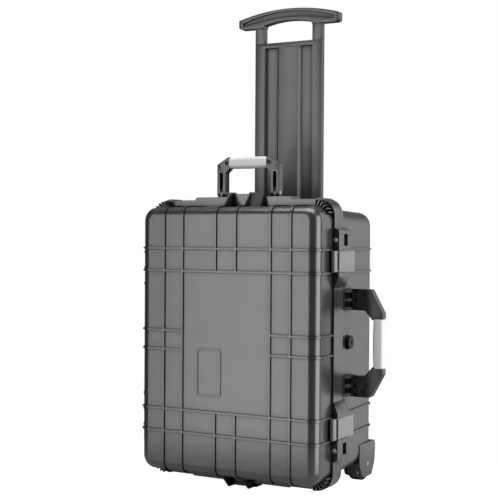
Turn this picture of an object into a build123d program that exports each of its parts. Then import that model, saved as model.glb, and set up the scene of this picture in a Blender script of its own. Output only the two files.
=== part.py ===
from build123d import *
import math
import os

os.makedirs("parts", exist_ok=True)

# Upright wheeled equipment case, in millimetres, +Z up, +X to the latch side, +Y to the back.
# The origin is the centre of the foot's rest face, on the floor under the base rim.

# ---- driving dimensions ----
rim_width = 430.0
rim_height = 600.0
lid_depth = 84.0
base_depth = 220.0
foot_drop = 12.0            # floor to the underside of the rim
wall = 4.5
lid_rim_depth = 16.0
base_rim_depth = 26.0
rim_corner = 38.0
lid_inset_x = 4.0           # rim edge to lid wall, at the rim
lid_inset_z = 18.0
lid_draft = 1.4             # how far each lid wall leans in by its front
lid_corner = 30.0
lid_edge = 20.0             # rounding of the lid's front edges
base_inset_x = 3.5
base_inset_z = 22.0
base_draft_x = 11.0
base_draft_z = 5.0
base_corner = 34.0
base_edge = 26.0
rib_width = 3.6
rib_proud = 3.0
seal_width = 4.0
seal_depth = 4.0
past = 9.0                  # how far a cut runs past the skin it opens
fit = 0.3                   # gap between neighbours that move past each other
running = 0.05              # radial clearance on a pin

# ribs, from the case's centre
rib_columns = (104.3, 150.3)
centre_column = 23.8
latch_width = 43.0
latch_row = 170.25           # centre of each latch, midway between its two ribs
latch_to_rib = 2.25
rib_rows = (latch_row - latch_width / 2 - latch_to_rib, latch_row + latch_width / 2 + latch_to_rib)
middle_row = 20.2

# hinge
hinge_stand_off = 13.0
knuckle_radius = 8.0
hinge_pin_radius = 3.0
knuckle_pitch = 34.5
lid_knuckle_width = 6.0
hinge_rows = (150.0, -160.0)

# latches
latch_pin_radius = 2.2
lever_pin_radius = 1.5
jaw_plate = 2.4
lever_plate = 2.4
lever_length = 74.0
lever_nose = 5.5
lever_front = 0.7           # lever's front edge, ahead of its pin
lip_rise = 2.5
hook_depth = 14.0

# side handle
side_pivot_out = 12.0       # pivot beyond the base wall
side_pivot_back = 66.0      # pivot behind the parting plane
side_handle_height = 224.0
side_handle_reach = 70.0
side_grip_length = 103.0
side_bar = 18.0
handle_pin_radius = 3.0
bracket_height = 43.0
bracket_fin = 6.5
bracket_front = 32.0        # bracket plate, ahead of the pivot
bracket_rear = 17.0

# top handle
top_handle_width = 150.0
top_handle_height = 77.0
middle_rise = 3.5           # the rim's top stands higher between the carry handle's legs
top_grip_length = 90.0
top_leg_width = 20.0
top_bar_depth = 18.0
ear_width = 6.0
small_head = 3.2
small_shank = 1.6
small_recess = 4.6
grip_bore = 12.0
grip_section = 25.0

# pull handle
stem_width = 169.2
stem_depth = 14.0
rail_width = 24.0
pull_grip_width = 252.0
pull_grip_depth = 22.0
pull_travel = 415.0
stem_hold = 80.0            # stem left in its channel when extended
grip_parked = 23.0          # grip's top above the rim when pushed in
stem_slide = 0.5            # gap all round the stem in its channel
cover_width = 200.0
cover_depth = 12.0
channel_floor = 84.0

# wheels
wheel_radius = 37.0
tyre_thickness = 9.0
wheel_width = 27.0
axle_radius = 4.0
bush_radius = 6.3
axle_from_back = 37.0
housing_width = 41.0
housing_cheek = 5.0
housing_clear = 9.0         # tyre to the housing top
housing_height = wheel_radius + housing_clear   # housing top above the axle
housing_proud = 4.0

# purge valve
valve_radius = 13.5
valve_back = 64.0

# ---- shared places ----
half_w = rim_width / 2
half_h = rim_height / 2
mid_z = foot_drop + half_h
part_y = -base_rim_depth / 2
front_y = part_y - lid_depth
back_y = part_y + base_depth
lid_rim_y = part_y - lid_rim_depth
base_rim_y = part_y + base_rim_depth
base_half_w = half_w - base_inset_x
base_half_h = half_h - base_inset_z
lid_half_w = half_w - lid_inset_x
lid_half_h = half_h - lid_inset_z


def base_wall_x(y):
    """Half width of the base at one depth."""
    return base_half_w - base_draft_x * (y - base_rim_y) / (back_y - base_rim_y)


def block(x0, x1, y0, y1, z0, z1):
    return Pos((x0 + x1) / 2, (y0 + y1) / 2, (z0 + z1) / 2) * Box(x1 - x0, y1 - y0, z1 - z0)


def rod_x(radius, x0, x1, y, z):
    return Pos((x0 + x1) / 2, y, z) * Rot(0, 90, 0) * Cylinder(radius, x1 - x0)


def rod_y(radius, x, y0, y1, z):
    return Pos(x, (y0 + y1) / 2, z) * Rot(90, 0, 0) * Cylinder(radius, y1 - y0)


def rod_z(radius, x, y, z0, z1):
    return Pos(x, y, (z0 + z1) / 2) * Cylinder(radius, z1 - z0)


def prism_x(points, x0, x1):
    """An outline in Y and Z, drawn out along X."""
    return extrude(Plane.YZ.offset(x0) * make_face(Polyline(*points, close=True)), x1 - x0)


def prism_y(points, y0, y1):
    """An outline in X and Z, drawn out along Y."""
    return extrude(Plane.XZ.offset(-y1) * make_face(Polyline(*points, close=True)), y1 - y0)


def prism_z(points, z0, z1):
    """An outline in X and Y, drawn out along Z."""
    return extrude(Plane.XY.offset(z0) * make_face(Polyline(*points, close=True)), z1 - z0)


def span(side, x0, x1):
    """Two distances from the middle, as a rising pair on one side of the case."""
    return sorted((side * x0, side * x1))


def panel(half_x, half_z, corner, y):
    """A round-cornered face across the case at depth y."""
    return Plane.XZ.offset(-y) * Pos(0, mid_z) * RectangleRounded(2 * half_x, 2 * half_z, corner)


def tub(half_x, half_z, corner, y0, y1, lean_x, lean_z, edge):
    """A drafted tub from its open side y0 to its closed side y1, with rounded closed edges."""
    rim = panel(half_x, half_z, corner, y0)
    end = panel(half_x - lean_x, half_z - lean_z, corner - min(lean_x, lean_z), y1)
    body = loft([rim, end], ruled=True)
    closed = body.faces().sort_by(Axis.Y)[0 if y1 < y0 else -1]
    return fillet(closed.edges(), edge)


def slab(half_x, half_z, corner, y0, y1):
    return extrude(panel(half_x, half_z, corner, y1), y1 - y0)


def save(shape, name):
    shape.label = name
    export_step(shape, "parts/" + name + ".step")


def group(solids):
    return Compound(children=list(solids))


# ---- rim shared by lid and base ----
notch_from = 113.0
notch_to = 176.0
notch_drop = 2.5
bump_out = 10.0
bump_ends = (side_handle_height / 2 + 4, rib_rows[0] - 6.5, rib_rows[1] + 40, rib_rows[1] + 44)
padlock_row = rib_rows[1] + 20
padlock_radius = 4.0
sleeve_wall = 1.0
bump_back = 14.0            # how far the base's swelling runs on behind its rim
pocket_front = 9.0          # padlock pocket, behind the parting plane
pocket_back = 27.0
pocket_half = 12.0
padlock_x = half_w + 3.0
barrel_sink = 3.0           # the latch pocket behind the rim is this much deeper


def rim_slab(y0, y1, behind=0.0):
    """The rim ring's solid: notched top and bottom, raised at the top, swollen round the latches."""
    ring = slab(half_w, half_h, rim_corner, y0, y1)
    rise = [(-notch_from - middle_rise, mid_z + half_h - 8), (-notch_from, mid_z + half_h + middle_rise),
            (notch_from, mid_z + half_h + middle_rise), (notch_from + middle_rise, mid_z + half_h - 8)]
    ring += prism_y(rise, y0, y1)
    for side in (-1, 1):
        for low, high in ((mid_z + half_h - notch_drop, mid_z + half_h + 1),
                          (mid_z - half_h - 1, mid_z - half_h + notch_drop)):
            x0, x1 = span(side, notch_from + middle_rise, notch_to)
            ring -= block(x0, x1, y0 - 1, y1 + 1, low, high)
        tip, full, last, end = (mid_z + side * z for z in bump_ends)
        inside = half_w - wall - 2
        outline = [(inside, tip), (half_w, tip), (half_w + bump_out, full),
                   (half_w + bump_out, last), (half_w, end), (inside, end)]
        ring += prism_y(outline, y0, y1 + behind)
        z = mid_z + side * latch_row
        half_slot = latch_width / 2 + 1.0
        ring -= block(half_w, half_w + 2 * bump_out, y0 - 1, y1 + behind + 1, z - half_slot, z + half_slot)
        if behind:
            ring -= block(half_w - barrel_sink, half_w + 1, y1, y1 + behind + 1,
                          z - half_slot, z + half_slot)
    return ring


def padlock_bores(y0, y1):
    """Round holes through the rim, wide enough for the metal sleeves."""
    for side in (-1, 1):
        yield rod_y(padlock_radius + sleeve_wall, padlock_x, y0, y1, mid_z + side * padlock_row)


def sleeves(y0, y1):
    for side in (-1, 1):
        z = mid_z + side * padlock_row
        tube = rod_y(padlock_radius + sleeve_wall, padlock_x, y0, y1, z)
        yield tube - rod_y(padlock_radius, padlock_x, y0 - 1, y1 + 1, z)


# ---- ribs ----
def rib_plates(y0, y1, rows, columns):
    """Thin plates right through the case, later trimmed to the skin's outside."""
    t = rib_width / 2
    far = max(half_w, half_h) + 10
    for z in rows:
        yield block(-far, far, y0, y1, mid_z + z - t, mid_z + z + t)
    for x in columns:
        yield block(x - t, x + t, y0, y1, mid_z - far, mid_z + far)


both_rows = [side * z for side in (-1, 1) for z in rib_rows]
both_columns = [side * x for side in (-1, 1) for x in rib_columns]

# ---- hinge ----
hinge_x = -half_w - hinge_stand_off
hinge_y = part_y


def knuckle(z0, z1, toward, straight, reach):
    """A hinge lug: a barrel round the pin and a web to the rim, forward or backward."""
    near = -half_w + 6
    tip = hinge_x - knuckle_radius
    web = [(tip, hinge_y), (tip, hinge_y + toward * straight),
           (hinge_x + knuckle_radius, hinge_y + toward * reach), (near, hinge_y + toward * reach),
           (near, hinge_y)]
    return prism_z(web, z0, z1) + rod_z(knuckle_radius, hinge_x, hinge_y, z0, z1)


def lid_knuckles():
    for row in hinge_rows:
        for step in (-1, 0, 1):
            z = mid_z + row + step * knuckle_pitch
            yield knuckle(z - lid_knuckle_width / 2, z + lid_knuckle_width / 2, -1, 34.0, 46.0)


def base_knuckles():
    for row in hinge_rows:
        for step in (-0.5, 0.5):
            z = mid_z + row + step * knuckle_pitch
            half = (knuckle_pitch - lid_knuckle_width) / 2 - fit
            yield knuckle(z - half, z + half, 1, knuckle_radius, 38.0)


hinge_half = knuckle_pitch + lid_knuckle_width / 2


def hinge_pin(row, radius, extra=0.0):
    z = mid_z + row
    return rod_z(radius, hinge_x, hinge_y, z - hinge_half - extra, z + hinge_half + extra)


# ---- lid ----
lid_skin = tub(lid_half_w, lid_half_h, lid_corner, lid_rim_y, front_y, lid_draft, lid_draft, lid_edge)
rib_skin = tub(lid_half_w + rib_proud, lid_half_h + rib_proud, lid_corner + rib_proud, lid_rim_y,
               front_y - rib_proud, lid_draft, lid_draft, lid_edge + rib_proud)
lid_ribs = Part() + list(rib_plates(front_y - 5, lid_rim_y, both_rows, both_columns))
for side in (-1, 1):
    for x in (-centre_column, centre_column):
        z0, z1 = span(side, rib_rows[0], half_h + 10)
        t = rib_width / 2
        lid_ribs += block(x - t, x + t, front_y - 5, lid_rim_y, mid_z + z0, mid_z + z1)
    for z in (-middle_row, middle_row):
        x0, x1 = span(side, rib_columns[0], half_w + 10)
        t = rib_width / 2
        lid_ribs += block(x0, x1, front_y - 5, lid_rim_y, mid_z + z - t, mid_z + z + t)
lid = lid_skin + (rib_skin & lid_ribs) + rim_slab(lid_rim_y, part_y)

# fins over the rim at the centre ribs: a rest at the top, a foot at the bottom
fin_width = 4.0
top_fin_rise = 13.0
rest_width = 30.0           # flat rest beside the right-hand top fin
rest_drop = 3.0
foot_clear = 0.5
for side in (-1, 1):
    tip = top_fin_rise if side > 0 else foot_drop - foot_clear
    skin_z = mid_z + side * (lid_half_h - 6)
    tip_z = mid_z + side * (half_h + tip)
    outline = [(lid_rim_y - 46, skin_z), (lid_rim_y - 8, tip_z), (part_y - fit, tip_z),
               (part_y - fit, skin_z)]
    for x in (-centre_column, centre_column):
        lid += prism_x(outline, x - fin_width / 2, x + fin_width / 2)
    if side > 0:
        rest_z = tip_z - rest_drop
        rest = [(lid_rim_y - 24, skin_z), (lid_rim_y - 6, rest_z), (part_y - fit, rest_z), (part_y - fit, skin_z)]
        lid += prism_x(rest, centre_column, centre_column + rest_width)
    z0, z1 = sorted((mid_z + side * (half_h + 2), tip_z - side * 3))
    lid += block(-centre_column, centre_column, lid_rim_y, lid_rim_y + fin_width, z0, z1)

# corner webs between the lid and the rim
for sx in (-1, 1):
    for sz in (-1, 1):
        for angle in range(12, 84, 14):
            a = math.radians(angle)
            web = block(0, 40, lid_rim_y - 22, lid_rim_y, -1.2, 1.2)
            corner_x = sx * (half_w - rim_corner)
            corner_z = mid_z + sz * (half_h - rim_corner)
            turn = math.degrees(math.atan2(sz * math.sin(a), sx * math.cos(a)))
            placed = Pos(corner_x, 0, corner_z) * Rot(0, -turn, 0) * web
            lid += placed & slab(half_w - 2, half_h - 4, rim_corner - 2, lid_rim_y - 22, lid_rim_y)

# raised label frame
label_x = (-68.0, -10.5)
label_z = (-114.0, -15.0)
label_line = 2.2
label_proud = 1.5
centre = Pos((label_x[0] + label_x[1]) / 2, mid_z + (label_z[0] + label_z[1]) / 2)
label = RectangleRounded(label_x[1] - label_x[0], label_z[1] - label_z[0], 6)
label -= RectangleRounded(label_x[1] - label_x[0] - 2 * label_line,
                          label_z[1] - label_z[0] - 2 * label_line, 6 - label_line)
lid += extrude(Plane.XZ.offset(-front_y - 1) * centre * label, 1 + label_proud)

lid += list(lid_knuckles())
lid_cavity = tub(lid_half_w - wall - 1, lid_half_h - wall, lid_corner - 4, part_y, front_y + wall,
                 lid_draft, lid_draft, lid_edge - 5)
lid -= lid_cavity
seal_mid = (lid_half_w - wall - 1 + half_w) / 2
seal_inset = half_w - seal_mid
seal_outer = slab(half_w - seal_inset + seal_width / 2, half_h - 12, rim_corner - 4,
                  part_y - seal_depth, part_y)
seal_inner = slab(half_w - seal_inset - seal_width / 2, half_h - 12 - seal_width, rim_corner - 8,
                  part_y - seal_depth - 1, part_y + 1)
rim_seal = seal_outer - seal_inner
lid -= rim_seal
for bore in padlock_bores(lid_rim_y - 1, part_y + 1):
    lid -= bore
for row in hinge_rows:
    lid -= hinge_pin(row, hinge_pin_radius + running, 1)

# ---- base ----
base_skin = tub(base_half_w, base_half_h, base_corner, base_rim_y, back_y, base_draft_x,
                base_draft_z, base_edge)
base_rib_skin = tub(base_half_w + rib_proud, base_half_h + rib_proud, base_corner + rib_proud,
                    base_rim_y, back_y + rib_proud, base_draft_x, base_draft_z,
                    base_edge + rib_proud)
base_ribs = Part() + list(rib_plates(base_rim_y, back_y + 5, both_rows, both_columns))
base = base_skin + (base_rib_skin & base_ribs) + rim_slab(part_y, base_rim_y, bump_back)
base += list(base_knuckles())

# stem channel, cover rebate and wheel wells, and the same spaces with a wall round them
stem_back = back_y - cover_depth - stem_slide
stem_front = stem_back - stem_depth
channel_half = stem_width / 2 + stem_slide
channel_front = stem_front - stem_slide
cover_front = back_y - cover_depth
cover_half = cover_width / 2
cover_low = channel_floor - 8
case_top = mid_z + half_h
axle_y = back_y - axle_from_back
axle_z = wheel_radius
well_front = axle_y - wheel_radius - 6
well_top = axle_z + housing_height
well_in = base_wall_x(axle_y) + housing_proud - housing_width

base_cavity = tub(base_half_w - wall - 2, base_half_h - wall, base_corner - 4, part_y,
                  back_y - wall, base_draft_x, base_draft_z, base_edge - 4)
base_cavity -= block(-channel_half - wall, channel_half + wall, channel_front - wall, back_y,
                     channel_floor - wall, case_top)
base_cavity -= block(-cover_half - wall, cover_half + wall, cover_front - wall, back_y,
                     cover_low - wall, case_top)
for side in (-1, 1):
    x0, x1 = span(side, well_in - wall, half_w)
    base_cavity -= block(x0, x1, well_front - wall, back_y, 0, well_top + wall)
base -= base_cavity
base -= block(-channel_half, channel_half, channel_front, back_y + past, channel_floor, case_top)
base -= block(-cover_half, cover_half, cover_front, back_y + past, cover_low, case_top)
for side in (-1, 1):
    x0, x1 = span(side, well_in, half_w + past)
    base -= block(x0, x1, well_front, back_y + past, 0, well_top)

# screw bosses for the cover
screw_radius = 2.0
screw_head = 4.2
cover_screw_x = cover_half - 6
cover_screw_rows = (cover_low + 30, mid_z, case_top - 70)
for side in (-1, 1):
    for z in cover_screw_rows:
        base += rod_y(6.5, side * cover_screw_x, channel_front, cover_front, z)

# foot under the rim
foot_half = 30.0
base += block(-foot_half, foot_half, part_y, base_rim_y, 0, foot_drop + 4)

# latch pivot lugs on the base, behind the rim
latch_pin_x = half_w + 2.0
latch_pin_y = base_rim_y + 8.0
lug_width = 3.6
for side in (-1, 1):
    z = mid_z + side * latch_row
    for end in (-1, 1):
        inner = latch_width / 2 + 0.8
        z0, z1 = sorted((z + end * inner, z + end * (inner + lug_width)))
        lug = [(half_w - 8, base_rim_y - 6), (latch_pin_x + 4, base_rim_y - 6),
               (latch_pin_x + 6, latch_pin_y), (latch_pin_x + 4, latch_pin_y + 5),
               (half_w - 8, latch_pin_y + 20)]
        base += prism_z(lug, z0, z1)

# top handle ears on the rim
top_pivot_y = part_y + 16.0
top_pivot_z = case_top + middle_rise + 9.5
ear_radius = 8.0
leg_x = top_handle_width / 2 - top_leg_width / 2
for side in (-1, 1):
    x = side * leg_x
    base += rod_x(ear_radius, x - ear_width / 2, x + ear_width / 2, top_pivot_y, top_pivot_z)
    base += block(x - ear_width / 2, x + ear_width / 2, top_pivot_y - ear_radius,
                  top_pivot_y + ear_radius, case_top - 6, top_pivot_z)
    base -= rod_x(handle_pin_radius, x - 9, x + 9, top_pivot_y, top_pivot_z)

for bore in padlock_bores(part_y - 1, part_y + pocket_front + 1):
    base -= bore
for side in (-1, 1):
    z = mid_z + side * padlock_row
    base -= block(half_w - 2, half_w + bump_out + 1, part_y + pocket_front, part_y + pocket_back,
                  z - pocket_half, z + pocket_half)
for row in hinge_rows:
    base -= hinge_pin(row, hinge_pin_radius, 1)
latch_pin_half = latch_width / 2 + 0.8 + lug_width
for side in (-1, 1):
    z = mid_z + side * latch_row
    base -= rod_z(latch_pin_radius, latch_pin_x, latch_pin_y, z - latch_pin_half - 1,
                  z + latch_pin_half + 1)

# purge valve seat
valve_y = part_y + valve_back
valve_z = mid_z
valve_wall = base_wall_x(valve_y)
valve_neck = 9.0
base -= rod_x(valve_neck, valve_wall - 12, valve_wall + 12, valve_y, valve_z)

# ---- screws for the cover and the wheel housings ----


def cover_screw(x, z):
    head = rod_y(screw_head, x, back_y - 2.4, back_y - 0.4, z)
    return head + rod_y(screw_radius, x, cover_front - 9, back_y - 2.4, z)


cover_screws = [cover_screw(side * cover_screw_x, z) for side in (-1, 1) for z in cover_screw_rows]
for screw in cover_screws:
    base -= screw

housing_screw_y = (well_front + 10, back_y - 14)
housing_screw_x = well_in + 7


def housing_screw(x, y):
    shank = rod_z(screw_radius, x, y, well_top - housing_cheek, well_top + wall - 0.5)
    return shank + rod_z(screw_head, x, y, well_top - housing_cheek - 2.5, well_top - housing_cheek)


housing_screws = [housing_screw(side * housing_screw_x, y) for side in (-1, 1)
                  for y in housing_screw_y]
for screw in housing_screws:
    base -= screw
save(base, "base_shell")
save(lid, "lid_shell")
save(rim_seal, "rim_seal")
save(group(hinge_pin(row, hinge_pin_radius) for row in hinge_rows), "hinge_pins")
save(group(sleeves(lid_rim_y, part_y)), "lid_padlock_sleeves")
save(group(sleeves(part_y, part_y + pocket_front)), "base_padlock_sleeves")

# ---- latches ----
lever_pin_x = half_w + 3.5
lever_pin_y = lid_rim_y + 7.0
jaw_x0 = half_w + 0.6
jaw_width = latch_width - 7.0
knuckle_r = 2.9
hook_back = lid_rim_y - fit
jaw_top = lever_pin_x + 3.5


def latch_jaw(z):
    half = latch_width / 2
    inner = jaw_width / 2
    toe = lid_half_w + fit
    hook = [(jaw_x0 - 1, hook_back - hook_depth), (jaw_top, hook_back - hook_depth),
            (jaw_top, hook_back), (toe, hook_back), (toe, hook_back - 7), (jaw_x0 - 1, hook_back - 10)]
    jaw = prism_z(hook, z - half, z + half)
    jaw += block(jaw_x0, jaw_x0 + jaw_plate, hook_back - 6, latch_pin_y, z - inner, z + inner)
    jaw += rod_z(knuckle_r, lever_pin_x, lever_pin_y, z - inner, z + inner)
    jaw += block(jaw_x0, lever_pin_x, lever_pin_y - knuckle_r, lever_pin_y + knuckle_r,
                 z - inner, z + inner)
    jaw += rod_z(latch_pin_radius + 1.8, latch_pin_x, latch_pin_y, z - inner, z + inner)
    jaw -= rod_z(latch_pin_radius + running, latch_pin_x, latch_pin_y, z - half - 1, z + half + 1)
    return jaw - rod_z(lever_pin_radius, lever_pin_x, lever_pin_y, z - half - 1, z + half + 1)


def latch_lever(z):
    half = latch_width / 2
    inner = jaw_width / 2 + fit
    outer_x = lever_pin_x + lever_nose
    inner_x = outer_x - lever_plate
    end_y = lever_pin_y + lever_length - lever_nose
    lip = end_y - 20
    plate = [(inner_x, lever_pin_y - lever_front), (outer_x - 0.6, lever_pin_y - lever_front),
             (outer_x, lever_pin_y + 1), (outer_x, lip), (outer_x + lip_rise, lip + 4),
             (outer_x + lip_rise, end_y), (outer_x, end_y), (inner_x, end_y - 8)]
    lever = prism_z(plate, z - half, z + half)
    for end in (-1, 1):
        z0, z1 = sorted((z + end * inner, z + end * half))
        lever += rod_z(lever_pin_x - half_w - fit, lever_pin_x, lever_pin_y, z0, z1)
        lever += block(lever_pin_x, outer_x - 0.5, lever_pin_y, lever_pin_y + 40, z0, z1)
    return lever - rod_z(lever_pin_radius + running, lever_pin_x, lever_pin_y, z - half - 1,
                         z + half + 1)


for name, side in (("upper", 1), ("lower", -1)):
    z = mid_z + side * latch_row
    save(latch_jaw(z), name + "_latch_jaw")
    save(latch_lever(z), name + "_latch_lever")
    save(rod_z(lever_pin_radius, lever_pin_x, lever_pin_y, z - latch_width / 2 + 0.5,
               z + latch_width / 2 - 0.5), name + "_lever_pin")
save(group(rod_z(latch_pin_radius, latch_pin_x, latch_pin_y, mid_z + side * latch_row - latch_pin_half,
                 mid_z + side * latch_row + latch_pin_half) for side in (-1, 1)), "latch_pivot_pins")

# ---- top handle ----
grip_z = top_pivot_z + top_handle_height - grip_section / 2
bar_half = top_bar_depth / 2
leg_out = top_handle_width / 2
leg_in = leg_out - top_leg_width
bar_top = top_pivot_z + top_handle_height
bar_low = bar_top - grip_section
cut = 26.0
outer_line = [(-leg_out, top_pivot_z), (-leg_out, bar_top - 16), (-leg_out + cut, bar_top),
              (leg_out - cut, bar_top), (leg_out, bar_top - 16), (leg_out, top_pivot_z)]
inner_line = [(-leg_in, top_pivot_z - 1), (-leg_in, bar_low - 9), (-leg_in + 9, bar_low),
              (leg_in - 9, bar_low), (leg_in, bar_low - 9), (leg_in, top_pivot_z - 1)]
y0 = top_pivot_y - bar_half
y1 = top_pivot_y + bar_half
frame = prism_y(outer_line, y0, y1) - prism_y(inner_line, y0 - 1, y1 + 1)
for side in (-1, 1):
    x = side * leg_x
    frame += rod_x(bar_half, x - top_leg_width / 2, x + top_leg_width / 2, top_pivot_y, top_pivot_z)
    slot = ear_width / 2 + fit
    frame -= block(x - slot, x + slot, y0 - 1, y1 + 1, top_pivot_z - 12, top_pivot_z + 14)
    frame -= block(x - slot - 0.6, x + slot + 0.6, y0 - 1, top_pivot_y + 4, top_pivot_z + 13,
                   bar_low - 8)
    frame -= rod_x(handle_pin_radius + running, x - 20, x + 20, top_pivot_y, top_pivot_z)
grip_half = top_grip_length / 2
core_half = grip_bore / 2
for lip in ((y0 - 1, top_pivot_y - core_half), (top_pivot_y + core_half, y1 + 1)):
    frame -= block(-grip_half, grip_half, lip[0], lip[1], bar_low - 1, bar_top + 1)
for lip in ((bar_low - 1, grip_z - core_half), (grip_z + core_half, bar_top + 1)):
    frame -= block(-grip_half, grip_half, y0 - 1, y1 + 1, lip[0], lip[1])
grip_body = block(-grip_half, grip_half, top_pivot_y - grip_section / 2,
                  top_pivot_y + grip_section / 2, bar_low, bar_top)
grip_body = fillet(grip_body.edges().filter_by(Axis.X), 8)
top_grip = grip_body - block(-grip_half, grip_half, top_pivot_y - core_half,
                             top_pivot_y + core_half, grip_z - core_half, grip_z + core_half)
handle_screw_x = grip_half + 6.5
top_screws = []
for side in (-1, 1):
    x = side * handle_screw_x
    screw = rod_y(small_head, x, y0 + 2.5, y0 + 5, grip_z)
    screw += rod_y(small_shank, x, y0 + 5, y1 - 3, grip_z)
    frame -= rod_y(small_recess, x, y0 - 1, y0 + 5, grip_z)
    frame -= rod_y(small_shank, x, y0 + 5, y1 - 3, grip_z)
    top_screws.append(screw)
save(frame, "top_handle_frame")
save(top_grip, "top_handle_grip")
save(group(top_screws), "top_handle_screws")
save(group(rod_x(handle_pin_radius, side * leg_x - 9.5, side * leg_x + 9.5, top_pivot_y,
                 top_pivot_z) for side in (-1, 1)), "top_handle_pins")

# ---- side handle ----
side_y = part_y + side_pivot_back
side_x = base_wall_x(side_y) + side_pivot_out
tongue_radius = 8.0
arm_top = side_handle_height / 2
fin_z = [arm_top - 1 - bracket_fin, arm_top - 1 - bracket_height / 2 - bracket_fin / 2,
         arm_top - 1 - bracket_height]
side_out = side_x + side_handle_reach
side_half = side_bar / 2
grip_half_s = side_grip_length / 2
bend = side_out - 27
outer = [(side_x, arm_top), (bend, arm_top), (side_out, grip_half_s + 11),
         (side_out, -grip_half_s - 11), (bend, -arm_top), (side_x, -arm_top)]
low = arm_top - 1 - bracket_height
bar_in = side_out - 22
inner = [(side_x - 20, low), (bar_in - 18, low), (bar_in, grip_half_s - 4),
         (bar_in, -grip_half_s + 4), (bar_in - 18, -low), (side_x - 20, -low)]
y0 = side_y - side_half
y1 = side_y + side_half
silhouette = Plane.XZ.offset(-y1) * Pos(0, mid_z) * fillet(
    make_face(Polyline(*outer, close=True)).vertices(), 7)
hollow = Plane.XZ.offset(-y1 - 1) * Pos(0, mid_z) * fillet(
    make_face(Polyline(*inner, close=True)).vertices(), 5)
side_frame = extrude(silhouette, y1 - y0) - extrude(hollow, y1 - y0 + 2)
brackets = []
for side in (-1, 1):
    a, b = sorted((mid_z + side * low, mid_z + side * arm_top))
    side_frame += rod_z(tongue_radius, side_x, side_y, a, b)
    plate = block(side_x - 24, side_x - side_half - 1, side_y - bracket_front, side_y + bracket_rear,
                  a, b)
    bracket = plate
    for start in fin_z:
        z0, z1 = sorted((mid_z + side * start, mid_z + side * (start + bracket_fin)))
        fin = rod_z(side_half, side_x, side_y, z0, z1)
        fin += prism_z([(side_x - 12, side_y + 1 - bracket_front), (side_x, side_y - side_half),
                        (side_x, side_y + side_half), (side_x - 12, side_y + side_half + 1.5)], z0, z1)
        bracket += fin
        gap0, gap1 = z0 - fit, z1 + fit
        side_frame -= block(side_x - 20, side_x + side_half + 4, side_y - 20, side_y + 20, gap0, gap1)
    bracket -= rod_z(handle_pin_radius, side_x, side_y, a - 1, b + 1)
    side_frame -= rod_z(handle_pin_radius + running, side_x, side_y, a - 1, b + 1)
    brackets.append(bracket - base_skin)
bar_mid = side_out - 11
core_x = (bar_mid - core_half, bar_mid + core_half)
core_y = (side_y - 5, side_y + 5)
zone = (mid_z - grip_half_s, mid_z + grip_half_s)
side_frame -= (block(bar_in - 1, side_out + 1, y0 - 1, y1 + 1, *zone)
               - block(*core_x, *core_y, *zone))
side_grip = block(bar_mid - 12, bar_mid + 12, side_y - 10, side_y + 10, *zone)
side_grip = fillet(side_grip.edges().filter_by(Axis.Z), 6)
side_grip -= block(*core_x, *core_y, *zone)
arm_screw_x = side_x + 26
side_screws = []
for side in (-1, 1):
    z = mid_z + side * (arm_top - 12)
    screw = rod_y(small_head, arm_screw_x, y0 + 2, y0 + 4, z)
    screw += rod_y(small_shank, arm_screw_x, y0 + 4, y1 - 4, z)
    side_frame -= rod_y(small_recess, arm_screw_x, y0 - 1, y0 + 4, z)
    side_frame -= rod_y(small_shank, arm_screw_x, y0 + 4, y1 - 4, z)
    side_screws.append(screw)
save(side_frame, "side_handle_frame")
save(side_grip, "side_handle_grip")
save(group(side_screws), "side_handle_screws")
save(group(brackets), "side_handle_brackets")
save(group(rod_z(handle_pin_radius, side_x, side_y, *sorted((mid_z + side * (low + 0.5),
                                                             mid_z + side * (arm_top - 1.5))))
           for side in (-1, 1)), "side_handle_pins")

# ---- purge valve ----
valve_collar = rod_x(valve_radius + 1.5, valve_wall - 6, valve_wall + 2.5, valve_y, valve_z) - base_skin
valve_body = valve_collar + rod_x(valve_neck, valve_wall - 8, valve_wall + 1, valve_y, valve_z)
valve_body += rod_x(4.0, valve_wall + 1, valve_wall + 8, valve_y, valve_z)
knob_in = valve_wall + 2.5 + fit
knob = rod_x(valve_radius, knob_in, knob_in + 6.5, valve_y, valve_z)
knob -= rod_x(4.0 + running, knob_in - 1, knob_in + 8, valve_y, valve_z)
for k in range(8):
    a = math.radians(45 * k)
    y = valve_y + (valve_radius + 0.6) * math.cos(a)
    z = valve_z + (valve_radius + 0.6) * math.sin(a)
    knob -= rod_x(2.0, knob_in - 1, knob_in + 8, y, z)
save(valve_body, "purge_valve_body")
save(knob, "purge_valve_knob")

# ---- pull handle ----
stem_low = case_top - base_inset_z - stem_hold
grip_top = case_top + grip_parked + pull_travel
opening_top = grip_top - 26
opening_low = grip_top - 75
wing_low = grip_top - 39
stem_half = stem_width / 2
hat = 25.0
slope = 6.0
stem_web = 4.0
groove_y = stem_back - stem_web
rail_in = stem_half - rail_width
section = [(-stem_half, stem_front), (-rail_in, stem_front), (-rail_in + 3, groove_y),
           (-hat - slope, groove_y), (-hat, stem_front + 1), (hat, stem_front + 1),
           (hat + slope, groove_y), (rail_in - 3, groove_y), (rail_in, stem_front),
           (stem_half, stem_front), (stem_half, stem_back), (hat, stem_back),
           (hat - slope, stem_front + 1 + stem_web), (-hat + slope, stem_front + 1 + stem_web),
           (-hat, stem_back), (-stem_half, stem_back)]
stem_top = opening_low - 11
stem = prism_z(section, stem_low, stem_top)
neck = block(-stem_half, stem_half, stem_front, stem_back, stem_top, opening_low)
stem += neck
grip_y = (stem_front + stem_back) / 2
gy0 = grip_y - pull_grip_depth / 2
gy1 = grip_y + pull_grip_depth / 2
half_grip = pull_grip_width / 2
sag = 18.0
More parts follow.
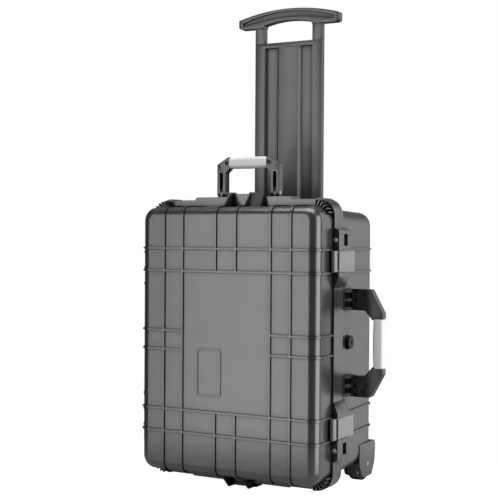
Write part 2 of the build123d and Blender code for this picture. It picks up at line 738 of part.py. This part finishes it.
crown = Plane.XZ.offset(-gy1) * make_face(
    ThreePointArc((-half_grip, grip_top - sag), (0, grip_top), (half_grip, grip_top - sag))
    + Polyline((half_grip, grip_top - sag), (half_grip, wing_low + 4), (half_grip - 6, wing_low),
               (-half_grip + 6, wing_low), (-half_grip, wing_low + 4), (-half_grip, grip_top - sag)))
t_bar = extrude(crown, gy1 - gy0)
recess = Plane.XZ.offset(-gy0 - 5) * make_face(
    ThreePointArc((-half_grip + 9, grip_top - sag - 7), (0, grip_top - 6),
                  (half_grip - 9, grip_top - sag - 7))
    + Polyline((half_grip - 9, grip_top - sag - 7), (half_grip - 12, wing_low + 6))
    + ThreePointArc((half_grip - 12, wing_low + 6), (0, opening_top + 6), (-half_grip + 12, wing_low + 6))
    + Polyline((-half_grip + 12, wing_low + 6), (-half_grip + 9, grip_top - sag - 7)))
t_bar -= extrude(recess, 6)
opening = Plane.XZ.offset(-gy1 - 1) * make_face(
    ThreePointArc((-rail_in, opening_top - 8), (0, opening_top), (rail_in, opening_top - 8))
    + Polyline((rail_in, opening_top - 8), (rail_in, opening_low - 1), (-rail_in, opening_low - 1),
               (-rail_in, opening_top - 8)))
t_bar += block(-stem_half, stem_half, stem_front, stem_back, opening_low, wing_low + 8)
t_bar -= extrude(opening, pull_grip_depth + 2)
pull_screws = []
for side in (-1, 1):
    x = side * (stem_half - rail_width / 2)
    screw = rod_z(2.0, x, grip_y, opening_low - 25, opening_low + 14)
    pull_screws.append(screw)
    stem -= screw
    t_bar -= screw
save(stem, "pull_handle_stem")
save(t_bar, "pull_handle_grip")
save(group(pull_screws), "pull_handle_screws")

# ---- rear cover and its release button ----
cover_top = case_top - base_inset_z - 6
cover = block(-cover_half, cover_half, cover_front, back_y, cover_low, cover_top)
for x in (-60, -36, -12, 12, 36, 60):
    cover += block(x - 3, x + 3, back_y, back_y + 1.8, cover_low + 20, cover_top - 80)
button_z = cover_top - 40
button_radius = 11.0
pocket_y = cover_front + 3
cover -= rod_y(button_radius + fit, 0, pocket_y, back_y + 4, button_z)
for screw in cover_screws:
    cover -= screw
for side in (-1, 1):
    for z in cover_screw_rows:
        cover -= rod_y(screw_head, side * cover_screw_x, back_y - 2.4, back_y + 4, z)
save(cover, "pull_handle_cover")
save(group(cover_screws), "cover_screws")
button_in = back_y - 5
button = rod_y(button_radius, 0, button_in, back_y + 2, button_z)
button -= rod_y(button_radius - 2.5, 0, button_in - 1, back_y - 0.5, button_z)
save(button, "handle_release_button")
spring = rod_y(7.0, 0, pocket_y, pocket_y + 5, button_z)
spring -= rod_y(5.6, 0, pocket_y - 1, pocket_y + 6, button_z)
save(spring, "release_spring")

# ---- wheels ----
for name, side in (("left", -1), ("right", 1)):
    out_x = base_wall_x(axle_y) + housing_proud
    skirt = [(well_front, well_top), (well_front, axle_z + 4), (well_front + 14, axle_z - 22),
             (well_front + 30, axle_z - 28), (axle_y + 24, axle_z - 28), (back_y + 3, axle_z - 4),
             (back_y + 6, axle_z + 12), (back_y + 6, well_top - 8), (back_y + 2, well_top)]
    housing = prism_x(skirt, *span(side, well_in, out_x))
    space = span(side, well_in + housing_cheek, out_x - housing_cheek)
    housing -= rod_x(wheel_radius + 2.5, *space, axle_y, axle_z)
    housing -= block(*space, axle_y - wheel_radius - 2.5, axle_y + wheel_radius + 2.5, -1, axle_z)
    housing -= rod_x(axle_radius, *span(side, well_in - 1, out_x + 1), axle_y, axle_z)
    for screw in housing_screws:
        housing -= screw
    for x, y in ((side * housing_screw_x, y) for y in housing_screw_y):
        housing -= rod_z(screw_head, x, y, -1, well_top - housing_cheek)
    save(housing, name + "_wheel_housing")
    mid_x = (space[0] + space[1]) / 2
    half = wheel_width / 2
    tread = rod_x(wheel_radius, mid_x - half, mid_x + half, axle_y, axle_z)
    tread = chamfer(tread.edges(), 3)
    rim_r = wheel_radius - tyre_thickness
    tread -= rod_x(rim_r, mid_x - half - 1, mid_x + half + 1, axle_y, axle_z)
    hub = rod_x(rim_r, mid_x - half + 1.5, mid_x + half - 1.5, axle_y, axle_z)
    for face in ((mid_x - half, mid_x - 4), (mid_x + 4, mid_x + half)):
        hub -= (rod_x(rim_r - 4, *face, axle_y, axle_z) - rod_x(11, *face, axle_y, axle_z))
    hub -= rod_x(bush_radius, mid_x - half - 1, mid_x + half + 1, axle_y, axle_z)
    bush = rod_x(bush_radius, mid_x - half + 0.5, mid_x + half - 0.5, axle_y, axle_z)
    bush -= rod_x(axle_radius + running, mid_x - half - 1, mid_x + half + 1, axle_y, axle_z)
    save(tread, name + "_tyre")
    save(hub, name + "_wheel_hub")
    save(bush, name + "_wheel_bush")
    save(rod_x(axle_radius, *span(side, well_in + 0.5, out_x + 0.8), axle_y, axle_z), name + "_axle")
save(group(housing_screws), "housing_screws")
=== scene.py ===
import bpy
import bmesh
import math
from mathutils import Matrix, Vector


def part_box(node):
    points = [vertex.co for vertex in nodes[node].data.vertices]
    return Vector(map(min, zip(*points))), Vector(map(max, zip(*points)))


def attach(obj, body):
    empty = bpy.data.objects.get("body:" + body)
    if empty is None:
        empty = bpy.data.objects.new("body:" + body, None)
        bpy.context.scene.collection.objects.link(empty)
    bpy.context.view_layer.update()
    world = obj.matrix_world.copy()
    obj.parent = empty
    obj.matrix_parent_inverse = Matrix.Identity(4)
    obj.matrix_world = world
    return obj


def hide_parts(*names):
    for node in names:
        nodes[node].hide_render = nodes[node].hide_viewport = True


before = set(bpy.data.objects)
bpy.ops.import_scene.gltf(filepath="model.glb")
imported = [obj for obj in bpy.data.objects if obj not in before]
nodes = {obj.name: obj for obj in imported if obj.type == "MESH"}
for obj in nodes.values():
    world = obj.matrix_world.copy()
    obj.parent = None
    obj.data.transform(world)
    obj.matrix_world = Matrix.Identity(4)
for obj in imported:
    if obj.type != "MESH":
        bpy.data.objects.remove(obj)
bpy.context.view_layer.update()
scene = bpy.context.scene

# ---- camera: a long lens, turned 29 degrees to the right of the lid ----
# It stands far back at the height of the case's upper half and looks almost level.
camera_data = bpy.data.cameras.new("studio_camera")
camera_data.sensor_width = 36
camera_data.lens = 81.47
camera_data.clip_end = 30
camera = bpy.data.objects.new("studio_camera", camera_data)
scene.collection.objects.link(camera)
turn, drop, roll = math.radians(28.9), math.radians(0.68), math.radians(0.36)
look = Vector((-math.sin(turn) * math.cos(drop), math.cos(turn) * math.cos(drop), -math.sin(drop)))
camera.location = (1.166, -2.110, 0.5335)   # metres from the centre of the foot
camera.rotation_mode = "QUATERNION"
level = look.to_track_quat("-Z", "Y")
camera.rotation_quaternion = level @ Matrix.Rotation(roll, 3, "Z").to_quaternion()
scene.camera = camera
scene.view_settings.view_transform = "Standard"

# ---- studio: white room, four soft lamps and a small pale floor ----
# Tall panels at the left and the right give the lid its long highlights and dark bands.
# The room is white to the camera but dim to the case, which keeps the plastic dark.
world = bpy.data.worlds.new("studio_white")
world.use_nodes = True
sky = world.node_tree
backdrop = sky.nodes["Background"]
backdrop.inputs["Color"].default_value = (1, 1, 1, 1)
dim_room = sky.nodes.new("ShaderNodeMapRange")
dim_room.inputs["To Min"].default_value = 0.12
dim_room.inputs["To Max"].default_value = 1.0
seen = sky.nodes.new("ShaderNodeLightPath")
sky.links.new(seen.outputs["Is Camera Ray"], dim_room.inputs["Value"])
sky.links.new(dim_room.outputs["Result"], backdrop.inputs["Strength"])
scene.world = world


def softbox(name, place, target, width, height, watts):
    data = bpy.data.lights.new(name, "AREA")
    data.shape = "RECTANGLE"
    data.size, data.size_y, data.energy = width, height, watts
    lamp = bpy.data.objects.new(name, data)
    lamp.location = place
    lamp.rotation_mode = "QUATERNION"
    lamp.rotation_quaternion = (Vector(target) - Vector(place)).to_track_quat("-Z", "Y")
    scene.collection.objects.link(lamp)


softbox("left_panel", (-1.42, -2.9, 0.4), (0, 0, 0.4), 1.15, 3.4, 85)
softbox("right_strip", (2.7, 0.0, 0.5), (0.1, 0, 0.45), 2.5, 3.2, 200)
softbox("back_right", (1.5, 2.6, 0.7), (0, 0, 0.45), 1.6, 3.0, 22)
softbox("top_soft", (0.1, -0.5, 2.7), (0, 0, 0.4), 2.2, 1.8, 110)

bm = bmesh.new()
floor_half = 0.5
bmesh.ops.create_grid(bm, x_segments=2, y_segments=2, size=floor_half)
floor_mesh = bpy.data.meshes.new("floor")
bm.to_mesh(floor_mesh)
bm.free()
floor = bpy.data.objects.new("floor", floor_mesh)
scene.collection.objects.link(floor)
floor_paint = bpy.data.materials.new("floor_white")
floor_paint.use_nodes = True
floor_shader = floor_paint.node_tree.nodes["Principled BSDF"]
floor_shader.inputs["Base Color"].default_value = (0.6, 0.6, 0.6, 1)
floor_shader.inputs["Roughness"].default_value = 0.8
floor_shader.inputs["Emission Color"].default_value = (1, 1, 1, 1)
floor_seen = floor_paint.node_tree.nodes.new("ShaderNodeLightPath")
floor_glow = floor_paint.node_tree.nodes.new("ShaderNodeMapRange")
floor_glow.inputs["To Min"].default_value = 0.0
floor_glow.inputs["To Max"].default_value = 0.97
floor_paint.node_tree.links.new(floor_seen.outputs["Is Camera Ray"], floor_glow.inputs["Value"])
floor_paint.node_tree.links.new(floor_glow.outputs["Result"], floor_shader.inputs["Emission Strength"])
floor_mesh.materials.append(floor_paint)

# ---- lid, base, rear cover and wheel housings: the grey moulded shells ----
# Injection-moulded copolymer with a fine spark-eroded grain. Handling leaves it slightly
# cloudy, with a little dust on upward faces. Painted shade darkens the colour and dulls the
# shine in the corners beside its ribs.


def moulded_skin():
    """Grain, cloudiness, scuffs, dust and painted corner shade for every moulded or rubber surface."""
    tree = bpy.data.node_groups.new("moulded_skin", "ShaderNodeTree")
    face = tree.interface
    for label, kind, start in (("Vector", "NodeSocketVector", None), ("Colour", "NodeSocketColor", None),
                               ("Rough", "NodeSocketFloat", 0.5), ("Grain Size", "NodeSocketFloat", 900),
                               ("Grain Depth", "NodeSocketFloat", 0.2), ("Scuffs", "NodeSocketFloat", 0.3),
                               ("Gloss", "NodeSocketFloat", 0.5)):
        socket = face.new_socket(label, in_out="INPUT", socket_type=kind)
        if start is not None:
            socket.default_value = start
    for label, kind in (("Colour", "NodeSocketColor"), ("Roughness", "NodeSocketFloat"),
                        ("Shine", "NodeSocketFloat"), ("Normal", "NodeSocketVector")):
        face.new_socket(label, in_out="OUTPUT", socket_type=kind)
    add, join = tree.nodes.new, tree.links.new
    source, sink = add("NodeGroupInput"), add("NodeGroupOutput")

    def noise(scale, detail):
        node = add("ShaderNodeTexNoise")
        node.inputs["Scale"].default_value = scale
        node.inputs["Detail"].default_value = detail
        join(source.outputs["Vector"], node.inputs["Vector"])
        return node

    def sums(operation, a, b):
        node = add("ShaderNodeMath")
        node.operation = operation
        for socket, value in zip(node.inputs, (a, b)):
            if isinstance(value, (int, float)):
                socket.default_value = value
            else:
                join(value, socket)
        return node.outputs["Value"]

    def spread(value, low, high, out_low, out_high):
        node = add("ShaderNodeMapRange")
        for label, number in (("From Min", low), ("From Max", high),
                              ("To Min", out_low), ("To Max", out_high)):
            node.inputs[label].default_value = number
        join(value, node.inputs["Value"])
        return node.outputs["Result"]

    cloud = spread(noise(9, 3).outputs["Fac"], 0.3, 0.7, 0.95, 1.05)
    # Painted shade: an occlusion mask darkens the colour and lowers the shine in corners and beside ribs.
    corners = add("ShaderNodeAmbientOcclusion")
    corners.samples = 8
    corners.inputs["Distance"].default_value = 0.012
    corner_shade = spread(corners.outputs["AO"], 0.35, 0.95, 0.1, 1)
    join(sums("MULTIPLY", corner_shade, source.outputs["Gloss"]), sink.inputs["Shine"])
    tone_and_shade = add("ShaderNodeVectorMath")
    tone_and_shade.operation = "SCALE"
    join(source.outputs["Colour"], tone_and_shade.inputs[0])
    join(sums("MULTIPLY", cloud, corner_shade), tone_and_shade.inputs["Scale"])
    rubbed = spread(noise(55, 8).outputs["Fac"], 0.62, 0.72, 0, 1)
    scuff = sums("MULTIPLY", rubbed, source.outputs["Scuffs"])
    pale = add("ShaderNodeMix")
    pale.data_type = "RGBA"
    join(scuff, pale.inputs["Factor"])
    join(tone_and_shade.outputs["Vector"], pale.inputs["A"])
    pale.inputs["B"].default_value = (0.42, 0.42, 0.43, 1)
    geometry = add("ShaderNodeNewGeometry")
    split = add("ShaderNodeSeparateXYZ")
    join(geometry.outputs["Normal"], split.inputs["Vector"])
    upward = spread(split.outputs["Z"], 0.6, 1.0, 0, 0.1)
    dust = sums("MULTIPLY", upward, spread(noise(160, 4).outputs["Fac"], 0.4, 0.65, 0.2, 1))
    dusty = add("ShaderNodeMix")
    dusty.data_type = "RGBA"
    join(dust, dusty.inputs["Factor"])
    join(pale.outputs["Result"], dusty.inputs["A"])
    dusty.inputs["B"].default_value = (0.5, 0.49, 0.47, 1)
    join(dusty.outputs["Result"], sink.inputs["Colour"])
    rough = sums("ADD", source.outputs["Rough"], sums("MULTIPLY", scuff, 0.2))
    rough = sums("ADD", rough, spread(noise(22, 3).outputs["Fac"], 0.3, 0.7, -0.01, 0.01))
    join(rough, sink.inputs["Roughness"])
    grain = add("ShaderNodeTexNoise")
    grain.inputs["Detail"].default_value = 2
    join(source.outputs["Vector"], grain.inputs["Vector"])
    join(source.outputs["Grain Size"], grain.inputs["Scale"])
    bump = add("ShaderNodeBump")
    bump.inputs["Distance"].default_value = 0.0002
    join(source.outputs["Grain Depth"], bump.inputs["Strength"])
    join(grain.outputs["Fac"], bump.inputs["Height"])
    join(bump.outputs["Normal"], sink.inputs["Normal"])
    return tree


skin = moulded_skin()


def moulded(name, grey, rough, size=1100, depth=0.25, scuffs=0.0, warm=1.0, gloss=0.5):
    """A material of one moulded plastic or rubber."""
    paint = bpy.data.materials.new(name)
    paint.use_nodes = True
    tree = paint.node_tree
    shader = tree.nodes["Principled BSDF"]
    place = tree.nodes.new("ShaderNodeTexCoord")
    group = tree.nodes.new("ShaderNodeGroup")
    group.node_tree = skin
    group.inputs["Colour"].default_value = (grey * warm, grey, grey / warm, 1)
    for label, value in (("Rough", rough), ("Grain Size", size), ("Grain Depth", depth), ("Scuffs", scuffs),
                         ("Gloss", gloss)):
        group.inputs[label].default_value = value
    tree.links.new(place.outputs["Object"], group.inputs["Vector"])
    tree.links.new(group.outputs["Colour"], shader.inputs["Base Color"])
    tree.links.new(group.outputs["Roughness"], shader.inputs["Roughness"])
    tree.links.new(group.outputs["Shine"], shader.inputs["Specular IOR Level"])
    tree.links.new(group.outputs["Normal"], shader.inputs["Normal"])
    return paint


def dress(paint, *names):
    """Gives CAD nodes a finish."""
    for name in names:
        mesh = nodes[name].data
        for index in range(len(mesh.materials)):
            mesh.materials[index] = paint


weld = 0.00001              # vertices closer than this are one
flat_turn = math.radians(0.5)
edge_turn = math.radians(34)    # a sharper edge than this gets a mould's radius
crease_turn = math.radians(32)  # and shading breaks there


def add_piece(bm, name, paint, body, node):
    """Finishes a mesh as a piece: outward faces, smooth shading with sharp creases, its body."""
    bmesh.ops.recalc_face_normals(bm, faces=bm.faces)
    mesh = bpy.data.meshes.new(name)
    bm.to_mesh(mesh)
    bm.free()
    mesh.polygons.foreach_set("use_smooth", [True] * len(mesh.polygons))
    mesh.set_sharp_from_angle(angle=crease_turn)
    mesh.materials.append(paint)
    piece = bpy.data.objects.new(name, mesh)
    scene.collection.objects.link(piece)
    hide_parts(node)
    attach(piece, body)
    return piece


def merged_copy(node):
    """The CAD node's triangles as one closed mesh with whole flat faces."""
    bm = bmesh.new()
    bm.from_mesh(nodes[node].data)
    bmesh.ops.remove_doubles(bm, verts=bm.verts, dist=weld)
    bmesh.ops.dissolve_limit(bm, angle_limit=flat_turn, verts=bm.verts, edges=bm.edges)
    bmesh.ops.recalc_face_normals(bm, faces=bm.faces)
    return bm


def softened(node, width, paint, body, segments=3):
    """The CAD node's own shape with the small radii a mould leaves on its edges."""
    bm = merged_copy(node)
    crisp = [e for e in bm.edges if len(e.link_faces) == 2 and e.calc_face_angle(0) > edge_turn]
    bmesh.ops.bevel(bm, geom=crisp, offset=width, offset_type="OFFSET", segments=segments,
                    profile=0.5, affect="EDGES", clamp_overlap=True, material=-1)
    bmesh.ops.triangulate(bm, faces=bm.faces)
    return add_piece(bm, node + "_moulding", paint, body, node)


shell_plastic = moulded("shell_plastic", 0.013, 0.26)
base_plastic = moulded("base_plastic", 0.013, 0.3)
dress(shell_plastic, "lid_shell")
dress(base_plastic, "base_shell", "pull_handle_cover", "left_wheel_housing", "right_wheel_housing")

# ---- handle mouldings: a slightly darker glass-filled nylon ----
# The pull handle's stem and grip and the two carry frames come from the same darker nylon.
handle_plastic = moulded("handle_plastic", 0.01, 0.36)
dress(handle_plastic, "pull_handle_stem", "pull_handle_grip", "top_handle_frame", "side_handle_frame")

mm = 0.001
softened("top_handle_frame", 1.2 * mm, handle_plastic, "top_handle")
softened("side_handle_frame", 1.6 * mm, handle_plastic, "side_handle")
softened("pull_handle_grip", 2.2 * mm, handle_plastic, "pull_handle")
softened("pull_handle_stem", 0.8 * mm, handle_plastic, "pull_handle")

# ---- brackets, purge valve, button and hubs: black nylon ----
# Small black mouldings with a semi-matt skin.
black_plastic = moulded("black_plastic", 0.003, 0.5, gloss=0.22)
dress(black_plastic, "side_handle_brackets", "purge_valve_body", "purge_valve_knob",
      "handle_release_button", "left_wheel_hub", "right_wheel_hub")

softened("side_handle_brackets", 0.9 * mm, black_plastic, "base")
softened("purge_valve_knob", 0.6 * mm, black_plastic, "purge_knob")
softened("handle_release_button", 0.8 * mm, black_plastic, "release_button")

# ---- latches: pale grey moulded jaws and levers ----
# The grey jaw hooks over the lid's rim. Behind the hook, its faces under the lever are painted black as
# shade.
# The lever's raised lip is what a finger lifts.
latch_plastic = moulded("latch_plastic", 0.09, 0.4)
dress(latch_plastic, "upper_latch_jaw", "lower_latch_jaw", "upper_latch_lever", "lower_latch_lever")

hook_end = -0.0288          # Y where the grey hook ends and the black painted shade under the lever begins
for end in ("upper", "lower"):
    jaw = softened(end + "_latch_jaw", 0.5 * mm, latch_plastic, end + "_jaw")
    # Faces behind the hook take the black plastic as painted shade under the lever.
    jaw.data.materials.append(black_plastic)
    for face in jaw.data.polygons:
        if face.center.y > hook_end:
            face.material_index = 1
    softened(end + "_latch_lever", 0.6 * mm, latch_plastic, end + "_lever")

# ---- carry grips: soft pale grey rubber moulded over the frames ----
# Each is fuller in the middle of the hand than at its ends, with well-rounded long edges.
grip_rubber = moulded("grip_rubber", 0.34, 0.6, size=1500, depth=0.3, scuffs=0.0)


def carry_grip(node, along, body, swell):
    """A rounded handgrip over the node's own box, fuller in the middle than at its ends."""
    low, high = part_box(node)
    middle = (Vector(low) + Vector(high)) / 2
    size = Vector(high) - Vector(low)
    bm = bmesh.new()
    bmesh.ops.create_cube(bm, size=1)
    bmesh.ops.scale(bm, vec=size, verts=bm.verts)
    lengthways = [e for e in bm.edges if abs((e.verts[0].co - e.verts[1].co)[along]) > size[along] / 2]
    corner = 0.3 * min(size[(along + 1) % 3], size[(along + 2) % 3])
    bmesh.ops.bevel(bm, geom=lengthways, offset=corner, offset_type="OFFSET", segments=8, profile=0.5,
                    affect="EDGES", clamp_overlap=True, material=-1)
    axis = Vector((0, 0, 0))
    axis[along] = 1
    steps = 24
    for k in range(1, steps):
        place = axis * (k / steps - 0.5) * size[along]
        bmesh.ops.bisect_plane(bm, geom=bm.verts[:] + bm.edges[:] + bm.faces[:], dist=0.000001,
                               plane_co=place, plane_no=axis)
    ends = [e for e in bm.edges if all(abs(abs(v.co[along]) - size[along] / 2) < 0.000001 for v in e.verts)]
    bmesh.ops.bevel(bm, geom=ends, offset=0.0015, offset_type="OFFSET", segments=3, profile=0.5,
                    affect="EDGES", clamp_overlap=True, material=-1)
    rings = {}
    for vert in bm.verts:
        rings.setdefault(round(vert.co[along], 6), []).append(vert)
    for place, ring in rings.items():
        out = place / (size[along] / 2)
        scale = [1 - swell * out * out] * 3
        scale[along] = 1
        bmesh.ops.scale(bm, vec=scale, verts=ring)
    bmesh.ops.translate(bm, vec=middle, verts=bm.verts)
    return add_piece(bm, node + "_rubber", grip_rubber, body, node)


carry_grip("top_handle_grip", 0, "top_handle", 0.05)
carry_grip("side_handle_grip", 2, "side_handle", 0.1)

# ---- rim seal, tyres, hubs and bushes: black rubber round black and pale nylon ----
# The tyres are moulded with two shallow grooves, and the hubs are dished on both faces.
# The seal lies in a groove of the lid and shows only when it is open.
seal_rubber = moulded("seal_rubber", 0.02, 0.7)
tyre_rubber = moulded("tyre_rubber", 0.025, 0.75, scuffs=0.4)
dress(seal_rubber, "rim_seal")


def turned(outline, node, paint, body):
    """A ring spun round its axle, from a list of (distance along X, radius) around its section."""
    low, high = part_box(node)
    middle = (Vector(low) + Vector(high)) / 2
    bm = bmesh.new()
    verts = [bm.verts.new((x * mm, 0, r * mm)) for x, r in outline]
    edges = [bm.edges.new((verts[k], verts[(k + 1) % len(verts)])) for k in range(len(verts))]
    bmesh.ops.spin(bm, geom=verts + edges, cent=(0, 0, 0), axis=(1, 0, 0), angle=2 * math.pi,
                   steps=96, use_merge=True)
    bmesh.ops.remove_doubles(bm, verts=bm.verts, dist=0.000001)
    bmesh.ops.translate(bm, vec=middle, verts=bm.verts)
    return add_piece(bm, node + "_turned", paint, body, node)


tyre_line = [(-13.5, 28), (-13.5, 33.2), (-12.8, 35.2), (-11, 36.6), (-9.5, 37), (-6, 37),
             (-5.6, 36), (-4.4, 36),
             (-4, 37), (4, 37), (4.4, 36), (5.6, 36), (6, 37), (9.5, 37), (11, 36.6), (12.8, 35.2),
             (13.5, 33.2), (13.5, 28), (12.9, 27.6), (-12.9, 27.6)]
hub_line = [(-12, 6.3), (-13.3, 6.8), (-13.3, 10.2), (-12.6, 10.9), (-5, 11.4), (-4, 12.4),
            (-4, 22.6), (-5, 23.6),
            (-12, 24.2), (-12, 28), (12, 28), (12, 24.2), (5, 23.6), (4, 22.6), (4, 12.4), (5, 11.4),
            (12.6, 10.9), (13.3, 10.2), (13.3, 6.8), (12, 6.3)]
for side in ("left", "right"):
    turned(tyre_line, side + "_tyre", tyre_rubber, side + "_wheel")
    turned(hub_line, side + "_wheel_hub", black_plastic, side + "_wheel")
bush_nylon = moulded("bush_nylon", 0.7, 0.45, warm=1.03)
dress(bush_nylon, "left_wheel_bush", "right_wheel_bush")

# ---- pins, axles, screws and sleeves: turned stainless steel ----
# Pins, axles and padlock sleeves are left bright. The screws are blackened, and each head
# has a chamfered edge and a round driving socket.


def turned_steel(name, dark, bright):
    """Steel with fine turning marks, from its darkest to its brightest."""
    paint = bpy.data.materials.new(name)
    paint.use_nodes = True
    tree = paint.node_tree
    shader = tree.nodes["Principled BSDF"]
    shader.inputs["Metallic"].default_value = 1.0
    place = tree.nodes.new("ShaderNodeTexCoord")
    marks = tree.nodes.new("ShaderNodeTexNoise")
    marks.inputs["Scale"].default_value = 700
    marks.inputs["Detail"].default_value = 4
    tree.links.new(place.outputs["Object"], marks.inputs["Vector"])
    for label, low, high in (("Roughness", 0.22, 0.42), ("Base Color", dark, bright)):
        step = tree.nodes.new("ShaderNodeMapRange")
        step.inputs["To Min"].default_value = low
        step.inputs["To Max"].default_value = high
        tree.links.new(marks.outputs["Fac"], step.inputs["Value"])
        tree.links.new(step.outputs["Result"], shader.inputs[label])
    return paint


bright_steel = turned_steel("turned_steel", 0.42, 0.6)
dark_steel = turned_steel("blackened_steel", 0.03, 0.06)
dress(bright_steel, "hinge_pins", "latch_pivot_pins", "upper_lever_pin", "lower_lever_pin",
      "lid_padlock_sleeves", "base_padlock_sleeves", "top_handle_pins", "side_handle_pins",
      "pull_handle_screws", "release_spring", "left_axle", "right_axle")


def socketed(node, facing, rim, depth, paint, body):
    """The node's screws with a chamfered head and a round driving socket sunk in each."""
    facing = Vector(facing)
    bm = merged_copy(node)
    caps = [f for f in bm.faces if f.normal.dot(facing) > 0.99 and len(f.verts) > 8]
    furthest = max(f.calc_center_median().dot(facing) for f in caps)
    heads = [f for f in caps if f.calc_center_median().dot(facing) > furthest - 0.0005]
    for thickness, sink in ((0.3 * mm, 0), (rim, 0), (0.05 * mm, -depth)):
        bmesh.ops.inset_individual(bm, faces=heads, thickness=thickness, depth=sink)
    bmesh.ops.triangulate(bm, faces=bm.faces)
    return add_piece(bm, node + "_socketed", paint, body, node)


socketed("cover_screws", (0, 1, 0), 1.4 * mm, 1.3 * mm, dark_steel, "base")
socketed("housing_screws", (0, 0, -1), 1.4 * mm, 1.3 * mm, dark_steel, "base")
socketed("top_handle_screws", (0, -1, 0), 0.9 * mm, 1.3 * mm, dark_steel, "top_handle")
socketed("side_handle_screws", (0, -1, 0), 0.9 * mm, 1.2 * mm, dark_steel, "side_handle")
